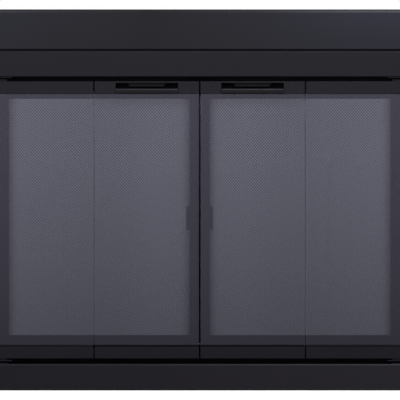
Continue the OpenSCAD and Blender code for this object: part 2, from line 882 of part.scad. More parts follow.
// Blocks with the pins on which a gate turns
module gate_pins(side) {
    x1 = x_gate - gate_t;
    x0 = x1 - hinge_block_w;
    y0 = y_gate + gate_t + net_t;
    y1 = y_gate + gate_d;
    h = hinge_block_h;
    color([0.60, 0.60, 0.62]) sided(side) {
        box([x0, y0, z_gate_top - h], [x1, y1, z_gate_top]);
        rod(x_gate_pin, y_gate_pin, z_gate_top, z_head_stop + gate_pin_past, gate_pin_r);
        box([x0, y0, gate_z0], [x1, y1, gate_z0 + h]);
        rod(x_gate_pin, y_gate_pin, z_stop - gate_pin_past, gate_z0, gate_pin_r);
        rod(x_gate_pin, y_gate_pin, z_stop + sheet_t, gate_z0, gate_pin_r + shoulder);
    }
}

// ---------------------------------------------------------------- assembly

top_fascia();
fascia_spacer();
header_rail();
bottom_rail();
side_jamb(LEFT);  // side_jamb_left
side_jamb(RIGHT);  // side_jamb_right
gate_stop_frame();
corner_brackets();
frame_screws();
guide_track();
pivot_brackets();
pivot_bushings();
gate_pivot_brackets();
gate_catches();
lintel_clamps();
clamp_bolts();
hearth_brackets();

outer_top_rail(LEFT);  // outer_top_rail_left
outer_bottom_rail(LEFT);  // outer_bottom_rail_left
outer_glass(LEFT);  // outer_glass_left
gaskets(LEFT, x_outer - panel_w);  // outer_gaskets_left
pivot_pins(LEFT);  // pivot_pins_left
outer_hinge_leaves(LEFT);  // outer_hinge_leaves_left
inner_top_rail(LEFT);  // inner_top_rail_left
inner_bottom_rail(LEFT);  // inner_bottom_rail_left
inner_glass(LEFT);  // inner_glass_left
inner_gaskets(LEFT);  // inner_gaskets_left
guide_pin(LEFT);  // guide_pin_left
guide_roller(LEFT);  // guide_roller_left
handle_pull(LEFT);  // handle_pull_left
handle_insert(LEFT);  // handle_insert_left
inner_hinge_leaves(LEFT);  // inner_hinge_leaves_left
hinge_pins(LEFT);  // hinge_pins_left
astragal();

outer_top_rail(RIGHT);  // outer_top_rail_right
outer_bottom_rail(RIGHT);  // outer_bottom_rail_right
outer_glass(RIGHT);  // outer_glass_right
gaskets(RIGHT, x_outer - panel_w);  // outer_gaskets_right
pivot_pins(RIGHT);  // pivot_pins_right
outer_hinge_leaves(RIGHT);  // outer_hinge_leaves_right
inner_top_rail(RIGHT);  // inner_top_rail_right
inner_bottom_rail(RIGHT);  // inner_bottom_rail_right
inner_glass(RIGHT);  // inner_glass_right
inner_gaskets(RIGHT);  // inner_gaskets_right
guide_pin(RIGHT);  // guide_pin_right
guide_roller(RIGHT);  // guide_roller_right
handle_pull(RIGHT);  // handle_pull_right
handle_insert(RIGHT);  // handle_insert_right
inner_hinge_leaves(RIGHT);  // inner_hinge_leaves_right
hinge_pins(RIGHT);  // hinge_pins_right

gate_frame(LEFT);  // gate_frame_left
gate_net(LEFT);  // gate_net_left
gate_retainer(LEFT);  // gate_retainer_left
gate_pull(LEFT);  // gate_pull_left
gate_pins(LEFT);  // gate_pins_left
gate_frame(RIGHT);  // gate_frame_right
gate_net(RIGHT);  // gate_net_right
gate_retainer(RIGHT);  // gate_retainer_right
gate_pull(RIGHT);  // gate_pull_right
gate_pins(RIGHT);  // gate_pins_right
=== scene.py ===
"""Fireplace glass door: a powder-coated steel frame, two bifold pairs of smoked panes
with slotted handles, and two woven wire gates behind them.

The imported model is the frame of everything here: metres, front towards -Y, Z up.
New pieces are profiles carried along a line or grids of two parameters, worked out
as whole numpy arrays. Each sits at the origin with its place in its mesh.
"""
import json
import math

import bmesh
import bpy
import numpy as np
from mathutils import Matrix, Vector


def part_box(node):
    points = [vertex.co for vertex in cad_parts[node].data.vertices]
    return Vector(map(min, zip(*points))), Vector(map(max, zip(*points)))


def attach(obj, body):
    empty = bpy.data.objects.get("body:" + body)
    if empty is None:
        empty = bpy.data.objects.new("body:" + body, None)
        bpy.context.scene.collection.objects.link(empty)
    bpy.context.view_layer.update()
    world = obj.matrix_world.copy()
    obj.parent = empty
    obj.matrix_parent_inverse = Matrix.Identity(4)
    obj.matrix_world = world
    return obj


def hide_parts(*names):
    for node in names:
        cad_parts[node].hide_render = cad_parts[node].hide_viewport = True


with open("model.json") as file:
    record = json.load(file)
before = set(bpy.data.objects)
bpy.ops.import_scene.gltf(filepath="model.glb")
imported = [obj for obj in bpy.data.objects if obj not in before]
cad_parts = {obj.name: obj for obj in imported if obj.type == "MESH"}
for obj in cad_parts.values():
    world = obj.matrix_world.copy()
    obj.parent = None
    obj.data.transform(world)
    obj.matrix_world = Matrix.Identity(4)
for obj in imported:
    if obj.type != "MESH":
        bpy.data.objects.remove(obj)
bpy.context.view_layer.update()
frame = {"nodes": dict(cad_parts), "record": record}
MM = 0.001
SIDES = {"left": -1.0, "right": 1.0}
RECORD = frame["record"]
BODY = {node: body for body, nodes in RECORD["behaviour"]["bodies"].items() for node in nodes}
SLOT = {row["node"]: row["material_slot"] for row in RECORD["subparts"]}


# ------------------------------------------------------------------ camera

FIELD = 0.79896          # width of the picture in the plane of the frame's front face
DISTANCE = 3.4           # from the camera to that plane
SENSOR = 36.0
AIM_X, AIM_Z = 0.0006, 0.3807     # the point of that plane in the middle of the picture
FAR = 60.0
FRONT_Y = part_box("header_rail")[0][1]


def make_camera():
    """A long lens that looks straight along +Y at the middle of the frame's height."""
    data = bpy.data.cameras.new("camera")
    data.sensor_width = SENSOR
    data.lens = SENSOR * DISTANCE / FIELD
    data.clip_end = FAR
    camera = bpy.data.objects.new("camera", data)
    camera.location = (AIM_X, FRONT_Y - DISTANCE, AIM_Z)
    camera.rotation_euler = (math.radians(90), 0, 0)
    bpy.context.scene.collection.objects.link(camera)
    bpy.context.scene.camera = camera


make_camera()


# ------------------------------------------------------------------ shader groups

def new_group(name, inputs, outputs):
    """An empty shader group with float, colour and vector sockets, and its two ends."""
    kinds = {"float": "NodeSocketFloat", "color": "NodeSocketColor", "vector": "NodeSocketVector"}
    tree = bpy.data.node_groups.new(name, "ShaderNodeTree")
    for label, kind, default in inputs:
        socket = tree.interface.new_socket(label, in_out="INPUT", socket_type=kinds[kind])
        if default is not None:
            socket.default_value = default
    for label, kind in outputs:
        tree.interface.new_socket(label, in_out="OUTPUT", socket_type=kinds[kind])
    return tree, tree.nodes.new("NodeGroupInput"), tree.nodes.new("NodeGroupOutput")


def object_noise(tree, scale, detail, rough=0.5, stretch=(1, 1, 1)):
    """Noise on Object coordinates; scale is in features per metre."""
    coords = tree.nodes.new("ShaderNodeTexCoord")
    mapping = tree.nodes.new("ShaderNodeMapping")
    mapping.inputs["Scale"].default_value = stretch
    noise = tree.nodes.new("ShaderNodeTexNoise")
    noise.inputs["Scale"].default_value = scale
    noise.inputs["Detail"].default_value = detail
    noise.inputs["Roughness"].default_value = rough
    tree.links.new(coords.outputs["Object"], mapping.inputs["Vector"])
    tree.links.new(mapping.outputs["Vector"], noise.inputs["Vector"])
    return noise.outputs["Fac"]


def mapped(tree, value, source, target):
    """The value carried from one range, a pair of its ends, to another, and held at its ends."""
    node = tree.nodes.new("ShaderNodeMapRange")
    ends = ("From Min", "From Max", "To Min", "To Max")
    for socket, end in zip(ends, source + target):
        node.inputs[socket].default_value = end
    tree.links.new(value, node.inputs["Value"])
    return node.outputs["Result"]


NOISE_RANGE = (0.25, 0.75)       # nearly all of a noise lies between these


def around_one(tree, value, amount):
    """Turns a noise into a factor of 1 plus or minus half the amount."""
    return mapped(tree, value, NOISE_RANGE, (1 - amount / 2, 1 + amount / 2))


def math_node(tree, operation, a, b):
    """One Math node; a and b are sockets or numbers."""
    node = tree.nodes.new("ShaderNodeMath")
    node.operation = operation
    for slot, value in ((0, a), (1, b)):
        if isinstance(value, (int, float)):
            node.inputs[slot].default_value = value
        else:
            tree.links.new(value, node.inputs[slot])
    return node.outputs[0]


def vector_node(tree, operation, first, second):
    """One Vector Math node on two sockets."""
    node = tree.nodes.new("ShaderNodeVectorMath")
    node.operation = operation
    tree.links.new(first, node.inputs[0])
    tree.links.new(second, node.inputs[1])
    return node.outputs[0]


def scaled_colour(tree, colour, factor):
    """The colour times a factor that changes over the surface."""
    node = tree.nodes.new("ShaderNodeVectorMath")
    node.operation = "SCALE"
    tree.links.new(colour, node.inputs[0])
    tree.links.new(factor, node.inputs["Scale"])
    return node.outputs[0]


def relief(tree, height, distance, strength):
    """The surface's direction with a pattern in relief; strength is a number or a socket."""
    bump = tree.nodes.new("ShaderNodeBump")
    bump.inputs["Distance"].default_value = distance
    if isinstance(strength, (int, float)):
        bump.inputs["Strength"].default_value = strength
    else:
        tree.links.new(strength, bump.inputs["Strength"])
    tree.links.new(height, bump.inputs["Height"])
    return bump.outputs["Normal"]


def place_axes(tree):
    """The Object coordinates' three parts: outputs X, Y and Z, in metres."""
    coords = tree.nodes.new("ShaderNodeTexCoord")
    split = tree.nodes.new("ShaderNodeSeparateXYZ")
    tree.links.new(coords.outputs["Object"], split.inputs[0])
    return split.outputs


def ramp(tree, value, stops):
    """A curve through (value, level) stops, level beyond its ends; levels are 0 to 1."""
    low, high = stops[0][0], stops[-1][0]
    curve = tree.nodes.new("ShaderNodeValToRGB")
    points = curve.color_ramp.elements
    for index, (at, level) in enumerate(stops):
        position = (at - low) / (high - low)
        point = points[index] if index < 2 else points.new(position)
        point.position = position
        point.color = (level, level, level, 1)
    tree.links.new(mapped(tree, value, (low, high), (0.0, 1.0)), curve.inputs["Fac"])
    return curve.outputs["Color"]


# Painted light and sheen along the long sheets, most at the right: place along X in metres, share
# of the most
PAINTED_LIGHT_ALONG_X = ((-0.48, 0.54), (-0.30, 0.20), (-0.10, 0.0), (0.12, 0.25), (0.30, 0.80), (0.48, 1.0))
# Heights between which the painted light grows towards the top sheet's upper edge, and its shares
# there
PAINTED_LIGHT_HEIGHTS = (0.700, 0.755)
PAINTED_LIGHT_SHARES = (0.65, 1.25)
# A painted highlight along the top sheet's upper fold: its height, how far up
# and down it holds, and where it ends
HIGHLIGHT_Z = 0.7568
HIGHLIGHT_FULL = 0.0008
HIGHLIGHT_HALF = 0.0016
# Features in a metre. The coat has a mottle and a fine grain in its tone, patches of gloss
# and orange peel
MOTTLE = 9.0
GRAIN = 1500.0
GLOSS_PATCHES = 60.0
ORANGE_PEEL = 900.0
# Drawn metal has a bloom, and streaks that are 25 times as long along X as they are wide
METAL_BLOOM = 45.0
STREAKS = 500.0
ALONG_X = (0.04, 1, 1)
# Moulded rubber and nylon have a fine skin
SKIN = 700.0


def coat_group():
    """Powder coat: orange peel in the normal, a slow mottle and a fine grain in the tone,
    patches of gloss, and a painted sheen: a clear layer whose weight, with a painted tint added
    to the tone, grows along X, either by the long sheets' curve or, where Even is 1, by a straight
    line, and with the height, plus a painted highlight along a fold."""
    tree, start, end = new_group(
        "powder_coat",
        [("Colour", "color", (0.02, 0.02, 0.02, 1)), ("Gloss", "float", 0.45),
         ("Peel", "float", 0.1), ("Painted Sheen", "float", 0.0), ("Painted Tint", "color", (0, 0, 0, 1)),
         ("Even", "float", 0.0), ("Painted Highlight", "float", 0.0)],
        [("Colour", "color"), ("Roughness", "float"), ("Normal", "vector"),
         ("Painted Sheen", "float")])
    place = place_axes(tree)
    # Painted light: the sheen's weight and a tint grow along X and with the height
    curve = ramp(tree, place["X"], PAINTED_LIGHT_ALONG_X)
    line = ramp(tree, place["X"], ((PAINTED_LIGHT_ALONG_X[0][0], 0.0), (PAINTED_LIGHT_ALONG_X[-1][0], 1.0)))
    lean = math_node(tree, "SUBTRACT", line, curve)
    along = math_node(tree, "ADD", curve, math_node(tree, "MULTIPLY", lean, start.outputs["Even"]))
    height = mapped(tree, place["Z"], PAINTED_LIGHT_HEIGHTS, PAINTED_LIGHT_SHARES)
    painted_light = math_node(tree, "MULTIPLY", along, height)
    # A painted highlight line along the fold's crest
    from_highlight = math_node(tree, "ABSOLUTE", math_node(tree, "SUBTRACT", place["Z"], HIGHLIGHT_Z), 0)
    painted_highlight = ramp(tree, from_highlight, ((HIGHLIGHT_FULL, 1.0), (HIGHLIGHT_HALF, 0.0)))
    painted_highlight = math_node(tree, "MULTIPLY", painted_highlight, start.outputs["Painted Highlight"])
    painted_highlight = math_node(tree, "MULTIPLY", painted_highlight, along)
    layer = math_node(tree, "MULTIPLY", start.outputs["Painted Sheen"], painted_light)
    layer = math_node(tree, "ADD", layer, painted_highlight)
    tree.links.new(layer, end.inputs["Painted Sheen"])
    mottle = around_one(tree, object_noise(tree, MOTTLE, 3.0), 0.10)
    grain = around_one(tree, object_noise(tree, GRAIN, 1.0), 0.16)
    tone = math_node(tree, "MULTIPLY", mottle, grain)
    plain = scaled_colour(tree, start.outputs["Colour"], tone)
    # A painted tint added where the painted light is most
    bloom_and_painted_tint = scaled_colour(tree, start.outputs["Painted Tint"], painted_light)
    tree.links.new(vector_node(tree, "ADD", plain, bloom_and_painted_tint), end.inputs["Colour"])
    gloss = math_node(tree, "MULTIPLY", start.outputs["Gloss"],
                      around_one(tree, object_noise(tree, GLOSS_PATCHES, 2.0), 0.12))
    tree.links.new(gloss, end.inputs["Roughness"])
    peel = relief(tree, object_noise(tree, ORANGE_PEEL, 2.0), 0.04 * MM, start.outputs["Peel"])
    tree.links.new(peel, end.inputs["Normal"])
    return tree


def drawn_group():
    """Drawn or rolled metal: long streaks along X in tone and relief, and a slow bloom in
    tone and gloss."""
    tree, start, end = new_group(
        "drawn_metal",
        [("Colour", "color", (0.5, 0.5, 0.5, 1)), ("Gloss", "float", 0.35)],
        [("Colour", "color"), ("Roughness", "float"), ("Normal", "vector")])
    streak = object_noise(tree, STREAKS, 3.0, 0.6, ALONG_X)
    bloom_and_painted_tint = object_noise(tree, METAL_BLOOM, 4.0, 0.6)
    tone = math_node(tree, "MULTIPLY",
                     around_one(tree, streak, 0.16), around_one(tree, bloom_and_painted_tint, 0.22))
    tree.links.new(scaled_colour(tree, start.outputs["Colour"], tone), end.inputs["Colour"])
    gloss = math_node(tree, "MULTIPLY", start.outputs["Gloss"], around_one(tree, bloom_and_painted_tint, 0.5))
    tree.links.new(gloss, end.inputs["Roughness"])
    tree.links.new(relief(tree, streak, 0.03 * MM, 0.15), end.inputs["Normal"])
    return tree


def moulded_group():
    """Moulded nylon or rubber: a dull skin with a faint texture."""
    tree, start, end = new_group(
        "moulded_skin",
        [("Colour", "color", (0.5, 0.5, 0.5, 1)), ("Gloss", "float", 0.55)],
        [("Colour", "color"), ("Roughness", "float"), ("Normal", "vector")])
    skin = object_noise(tree, SKIN, 3.0)
    tone = scaled_colour(tree, start.outputs["Colour"], around_one(tree, skin, 0.12))
    tree.links.new(tone, end.inputs["Colour"])
    gloss = math_node(tree, "MULTIPLY", start.outputs["Gloss"], around_one(tree, skin, 0.2))
    tree.links.new(gloss, end.inputs["Roughness"])
    tree.links.new(relief(tree, skin, 0.05 * MM, 0.2), end.inputs["Normal"])
    return tree


GROUPS = {"coat": coat_group(), "drawn": drawn_group(), "moulded": moulded_group()}


# ------------------------------------------------------------------ materials

def material(name, kind, colour, gloss, metallic=0.0, specular=0.5, peel=None, tint=(1, 1, 1),
             second=None, painted_light_by_height=None):
    """A Principled finish whose colour, gloss and relief come from one of the groups. second
    holds the painted sheen: its weight, its painted tint, its evenness and its painted highlight.
    The curve by the height, where given, is painted light and shade: the tone's share by the
    height."""
    mat = bpy.data.materials.new(name)
    mat.use_nodes = True
    tree = mat.node_tree
    shader = tree.nodes["Principled BSDF"]
    shader.inputs["Metallic"].default_value = metallic
    shader.inputs["Specular IOR Level"].default_value = specular
    shader.inputs["Specular Tint"].default_value = (*tint, 1)
    finish = tree.nodes.new("ShaderNodeGroup")
    finish.node_tree = GROUPS[kind]
    finish.inputs["Colour"].default_value = (*colour, 1)
    finish.inputs["Gloss"].default_value = gloss
    if peel is not None:
        finish.inputs["Peel"].default_value = peel
    if second:
        weight, bloom_and_painted_tint, even, painted_highlight = second
        finish.inputs["Painted Sheen"].default_value = weight
        finish.inputs["Painted Tint"].default_value = (*bloom_and_painted_tint, 1)
        finish.inputs["Even"].default_value = even
        finish.inputs["Painted Highlight"].default_value = painted_highlight
        shader.inputs["Coat Roughness"].default_value = SECOND_GLOSS
        shader.inputs["Coat IOR"].default_value = SECOND_IOR
        tree.links.new(finish.outputs["Painted Sheen"], shader.inputs["Coat Weight"])
    tone = finish.outputs["Colour"]
    # Painted light and shade by the height
    if painted_light_by_height:
        tone = scaled_colour(tree, tone, ramp(tree, place_axes(tree)["Z"], painted_light_by_height))
    tree.links.new(tone, shader.inputs["Base Color"])
    tree.links.new(finish.outputs["Roughness"], shader.inputs["Roughness"])
    tree.links.new(finish.outputs["Normal"], shader.inputs["Normal"])
    return mat


def clear_material(name, colour, ior, tint, haze, patchy, painted_bands=None):
    """Glass or clear rubber whose haze varies in slow patches. The curve by the distance from the
    middle, where given, is painted light and shade in the tone, and comes with a painted shadow
    and fine dust."""
    mat = bpy.data.materials.new(name)
    mat.use_nodes = True
    tree = mat.node_tree
    shader = tree.nodes["Principled BSDF"]
    shader.inputs["Base Color"].default_value = (*colour, 1)
    shader.inputs["IOR"].default_value = ior
    shader.inputs["Specular Tint"].default_value = (*tint, 1)
    shader.inputs["Transmission Weight"].default_value = 1.0
    patches = around_one(tree, object_noise(tree, HAZE, 3.0), patchy)
    tree.links.new(math_node(tree, "MULTIPLY", patches, haze), shader.inputs["Roughness"])
    if painted_bands:
        tone = tree.nodes.new("ShaderNodeRGB")
        tone.outputs[0].default_value = (*colour, 1)
        place = place_axes(tree)
        aside = math_node(tree, "ABSOLUTE", place["X"], 0)
        # Painted bands of light and shade across the panes
        share = ramp(tree, aside, painted_bands)
        # A painted shadow near the top, in the middle
        painted_shadow = math_node(tree, "MULTIPLY",
                         ramp(tree, aside, PAINTED_SHADOW_ASIDE), ramp(tree, place["Z"], PAINTED_SHADOW_RISE))
        unshaded = math_node(tree, "SUBTRACT", 1.0, math_node(tree, "MULTIPLY", painted_shadow, PAINTED_SHADOW))
        dust = around_one(tree, object_noise(tree, DUST, 1.5), 0.10)
        cover = math_node(tree, "MULTIPLY", math_node(tree, "MULTIPLY", share, unshaded), dust)
        tree.links.new(scaled_colour(tree, tone.outputs[0], cover), shader.inputs["Base Color"])
    return mat


# Features in a metre of the glass's haze and of its dust
HAZE = 14.0
DUST = 170.0
# Painted light and shade in the smoked tone, in bands across the panes: distance from the middle
# in metres, share of it
PAINTED_BANDS = ((0.0, 0.97), (0.09, 1.0), (0.16, 0.90), (0.21, 0.88), (0.28, 0.94), (0.35, 1.0),
         (0.43, 1.0))
# A painted shadow on the glass near its top, in the middle of the opening: its most, and its
# shares by the distance from the middle and by the height
PAINTED_SHADOW = 0.38
PAINTED_SHADOW_ASIDE = ((0.0, 1.0), (0.17, 1.0), (0.23, 0.0))
PAINTED_SHADOW_RISE = ((0.560, 0.0), (0.586, 1.0))
BLUISH = (0.89, 0.89, 1.0)
PAINTS = {
    # slot: colour, gloss, specular, peel
    # The fascia's coat is a lighter copy of the frame's, painted light on the upper sheet
    "fascia_paint": ((0.0069, 0.0070, 0.0092), 0.40, 0.195, 0.30),
    "frame_paint": ((0.0066, 0.0067, 0.0097), 0.46, 0.175, 0.30),
    "door_paint": ((0.0067, 0.0064, 0.0097), 0.44, 0.175, 0.30),
    "handle_paint": ((0.0072, 0.0069, 0.0093), 0.34, 0.315, 0.20),
    # The insert's coat is darker than the pull's, as painted shade in the handle's slot
    "insert_paint": ((0.0042, 0.0040, 0.0054), 0.60, 0.10, 0.30),
    "gate_paint": ((0.0072, 0.0070, 0.0088), 0.55, 0.21, 0.30),
    # Raised, with the curve by the height below, as painted light in the gaps
    "inner_paint": ((0.0180, 0.0180, 0.0235), 0.70, 0.12, 0.40),
    "pivot_steel": ((0.0060, 0.0060, 0.0070), 0.55, 0.12, 0.20),
    "net_wire": ((0.0100, 0.0100, 0.0115), 0.50, 0.30, 0.10),
}
# Painted sheen: its weight where the painted light is most, colour of its painted tint, evenness,
# weight of the painted highlight
PAINTED_SHEEN = {
    "fascia_paint": (0.12, (0.0018, 0.0016, 0.0105), 0.0, 0.86),
    "sill_painted_light": (0.15, (0.0016, 0.0010, 0.0020), 1.0, 0.0),
}
SECOND_GLOSS = 0.28
SECOND_IOR = 1.8
# Painted light and shade inside the frame: the coat is lighter near the head and darker near the
# sill
PAINTED_LIGHT_BY_HEIGHT = {"inner_paint": ((0.055, 0.04), (0.10, 0.28), (0.58, 0.28), (0.615, 1.0))}


def paint(name, row):
    """A powder coat from one row of the table."""
    colour, gloss, specular, peel = row
    return material(name, "coat", colour, gloss, specular=specular, peel=peel, tint=BLUISH,
                    second=PAINTED_SHEEN.get(name), painted_light_by_height=PAINTED_LIGHT_BY_HEIGHT.get(name))


MATERIALS = {slot: paint(slot, row) for slot, row in PAINTS.items()}
MATERIALS.update({
    "zinc": material("zinc", "drawn", (0.50, 0.51, 0.52), 0.38, metallic=1.0),
    "screw_steel": material("screw_steel", "drawn", (0.44, 0.44, 0.45), 0.30, metallic=1.0),
    "nylon": material("nylon", "moulded", (0.70, 0.68, 0.61), 0.50),
    "catch_black": material("catch_black", "moulded", (0.012, 0.012, 0.013), 0.60, specular=0.30),
    "seal": material("seal", "moulded", (0.0030, 0.0029, 0.0042), 0.75, specular=0.105),
    "smoked_glass": clear_material("smoked_glass", (0.116, 0.1225, 0.154), 1.69,
                                   (0.795, 0.757, 1.0), 0.02, 0.8, PAINTED_BANDS),
})
FOLD_SEAL = clear_material("fold_seal", (0.20, 0.20, 0.24), 1.3, (1, 1, 1), 0.55, 0.2)
# The bottom rail's coat, a darker copy of the frame's as painted shade, with a painted sheen of
# its own that grows towards the right
SILL_PAINTED_LIGHT = paint("sill_painted_light", ((0.0064, 0.0054, 0.0080), 0.46, 0.170, 0.30))
# The doors' lower rails, a darker, duller copy of the upper ones' paint as painted shade low down
SHADED_LOW_RAIL = paint("low_rail_painted_shade", ((0.0063, 0.0061, 0.0086), 0.46, 0.150, 0.30))
# The strip over the middle seam, lighter towards its top as painted light in the seam
SEAM_STRIP_PAINTED_LIGHT = material("seam_strip_painted_light", "moulded", (0.0400, 0.0385, 0.0480), 0.80, specular=0.06,
                       painted_light_by_height=((0.06, 0.03), (0.26, 0.10), (0.40, 0.45), (0.58, 1.0)))
# Guide pins, near black as painted shade in the head gap
SHADED_GUIDE_PIN = material("guide_pin_painted_shade", "moulded", (0.0012, 0.0012, 0.0018), 0.85, specular=0.03)
# Painted shade inside the doors' top rails, seen through the handles' slots
SHADED_INSIDE = material("inside_painted_shade", "coat", (0.0050, 0.0050, 0.0072), 0.9, specular=0.06,
                       peel=0.4)
# The inner panels' rubber, duller than the outer panels'
INNER_SEAL = material("inner_seal", "moulded", (0.0018, 0.0018, 0.0024), 0.75, specular=0.065)

for node, slot in SLOT.items():
    mesh = frame["nodes"][node].data
    mesh.materials.clear()
    mesh.materials.append(MATERIALS[slot])


# ------------------------------------------------------------------ making pieces

# Edges sharper than this stay creases in the shading
SHARP = math.radians(38)
# Neighbours whose directions differ by less than this become one face before edges are rolled
FLAT = math.radians(0.5)
SAME_POINT = 0.001 * MM


def place_piece(piece, body, slot, finish=None):
    """Links a piece, gives it its finish and lets it ride on its body."""
    bpy.context.scene.collection.objects.link(piece)
    piece.data.materials.append(finish or MATERIALS[slot])
    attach(piece, body)
    return piece


def add_piece(name, verts, faces, slot, body, outward=False):
    """Puts computed points and faces into an object at the origin that rides on a body. Faces
    that already point outwards say so, and are left as they are."""
    mesh = bpy.data.meshes.new(name)
    faces = faces.tolist() if isinstance(faces, np.ndarray) else faces
    mesh.from_pydata(np.asarray(verts).tolist(), [], faces)
    if not outward:
        shell = bmesh.new()
        shell.from_mesh(mesh)
        bmesh.ops.recalc_face_normals(shell, faces=shell.faces)
        shell.to_mesh(mesh)
        shell.free()
    mesh.polygons.foreach_set("use_smooth", np.ones(len(mesh.polygons), dtype=bool))
    mesh.set_sharp_from_angle(angle=SHARP)
    return place_piece(bpy.data.objects.new(name, mesh), body, slot)


def tubes(points):
    """Faces of closed tubes from an array of (tubes, rings, points, 3): quads between
    neighbouring rings and a flat cap on the first and the last ring of each tube."""
    count, rings, size, _ = points.shape
    base = (np.arange(count) * rings * size)[:, None, None]
    ring = (np.arange(rings - 1) * size)[None, :, None]
    now = np.arange(size)[None, None, :]
    after = (now + 1) % size
    quads = np.stack([base + ring + now, base + ring + after,
                      base + ring + size + after, base + ring + size + now], axis=-1)
    starts = base[:, 0] + now[0, :, ::-1]
    ends = base[:, 0] + (rings - 1) * size + now[0]
    faces = quads.reshape(-1, 4).tolist() + starts.tolist() + ends.tolist()
    return points.reshape(-1, 3), faces


def frame_of(axis):
    """Two directions square to an axis, which with it make a right-handed set."""
    axis = np.array(axis, dtype=float)
    first = np.array((0.0, 1.0, 0.0)) if abs(axis[0]) > 0.9 else np.array((1.0, 0.0, 0.0))
    return first, np.cross(axis, first), axis


def turned(places, axis, profile, sides, shape=None):
    """Turned pieces at several places: ring j has radius and height profile[j] along the
    axis. shape, where given, is a factor on the radius for each ring and angle."""
    first, second, axis = frame_of(axis)
    radius, height = np.array(profile).T
    angle = np.arange(sides) * 2 * math.pi / sides
    spread = radius[:, None] * (1 if shape is None else shape(angle))
    ring = (spread[..., None] * (np.cos(angle)[:, None] * first + np.sin(angle)[:, None] * second)
            + height[:, None, None] * axis)
    return tubes(np.array(places)[:, None, None, :] + ring[None])


def edged(node, radius, segments=2, name=None, keep=None, finish=None):
    """A copy of a CAD node whose loose triangles are joined and whose sharp edges are rolled
    to a radius, as coated sheet and polished glass have them. It stands for the node. keep,
    where given, says by the middle of a loose part whether it belongs to this piece."""
    shell = bmesh.new()
    shell.from_mesh(frame["nodes"][node].data)
    bmesh.ops.remove_doubles(shell, verts=shell.verts, dist=SAME_POINT)
    if keep is not None:
        drop = [vert for vert in shell.verts if not keep(vert.co)]
        bmesh.ops.delete(shell, geom=drop, context="VERTS")
    bmesh.ops.dissolve_limit(shell, angle_limit=FLAT, verts=shell.verts, edges=shell.edges)
    mesh = bpy.data.meshes.new(name or f"{node}_edged")
    shell.to_mesh(mesh)
    shell.free()
    mesh.polygons.foreach_set("use_smooth", np.ones(len(mesh.polygons), dtype=bool))
    mesh.set_sharp_from_angle(angle=SHARP)
    piece = bpy.data.objects.new(mesh.name, mesh)
    roll = piece.modifiers.new("rolled_edges", "BEVEL")
    roll.width = radius
    roll.segments = segments
    roll.limit_method = "ANGLE"
    roll.angle_limit = SHARP
    flat = piece.modifiers.new("flat_faces", "WEIGHTED_NORMAL")
    flat.keep_sharp = True
    place_piece(piece, BODY[node], SLOT[node], finish)
    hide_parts(node)
    return piece


# ------------------------------------------------------------------ coated sheet and rails

SHEET_NODES = {
    # node: radius of its rolled edges
    "top_fascia": 0.5, "fascia_spacer": 0.6, "header_rail": 0.5, "bottom_rail": 0.5,
    "side_jamb_left": 0.5, "side_jamb_right": 0.5, "gate_stop_frame": 0.4, "corner_brackets": 0.4,
    "guide_track": 0.4, "pivot_brackets": 0.5, "pivot_bushings": 0.3, "gate_pivot_brackets": 0.4,
    "gate_catches": 1.2, "lintel_clamps": 0.5, "hearth_brackets": 0.5, "astragal": 0.6,
}
SIDED_NODES = {
    # the same, for the nodes that come once on each side
    "outer_top_rail": 0.4, "outer_bottom_rail": 0.4, "inner_top_rail": 0.4,
    "inner_bottom_rail": 0.4, "pivot_pins": 0.35, "outer_hinge_leaves": 0.25,
    "inner_hinge_leaves": 0.25, "hinge_pins": 0.15, "guide_pin": 0.4, "guide_roller": 0.6,
    "handle_insert": 0.4, "gate_frame": 0.35, "gate_retainer": 0.5, "gate_pull": 0.5,
    "gate_pins": 0.5,
}
FINISH = {
    # finishes that differ from their slot's
    "bottom_rail": SILL_PAINTED_LIGHT, "guide_pin": SHADED_GUIDE_PIN, "astragal": SEAM_STRIP_PAINTED_LIGHT,
    "outer_bottom_rail": SHADED_LOW_RAIL, "inner_bottom_rail": SHADED_LOW_RAIL,
}
for node, radius in SHEET_NODES.items():
    edged(node, radius * MM, finish=FINISH.get(node))
for side in SIDES:
    for node, radius in SIDED_NODES.items():
        edged(f"{node}_{side}", radius * MM, finish=FINISH.get(node))


NEAR_WALL = 1.4 * MM     # a little less than the rail's sheet is thick


def shaded_hollow(node):
    """Gives the faces inside a rail's closed hollow the painted shade: those whose middle lies
    about a sheet's thickness inside its ends, its front, its back and its top."""
    mesh = bpy.data.objects[f"{node}_edged"].data
    low, high = (np.array(corner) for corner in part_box(node))
    middle = np.empty(3 * len(mesh.polygons))
    mesh.polygons.foreach_get("center", middle)
    middle = middle.reshape(-1, 3)
    inside = (middle[:, :2] > low[:2] + NEAR_WALL).all(axis=1)
    inside &= (middle < high - NEAR_WALL).all(axis=1)
    mesh.materials.append(SHADED_INSIDE)
    mesh.polygons.foreach_set("material_index", inside.astype(np.int32))


for side in SIDES:
    shaded_hollow(f"inner_top_rail_{side}")


# ------------------------------------------------------------------ handles

ARC_STEPS = 6            # straight pieces in one rounded corner


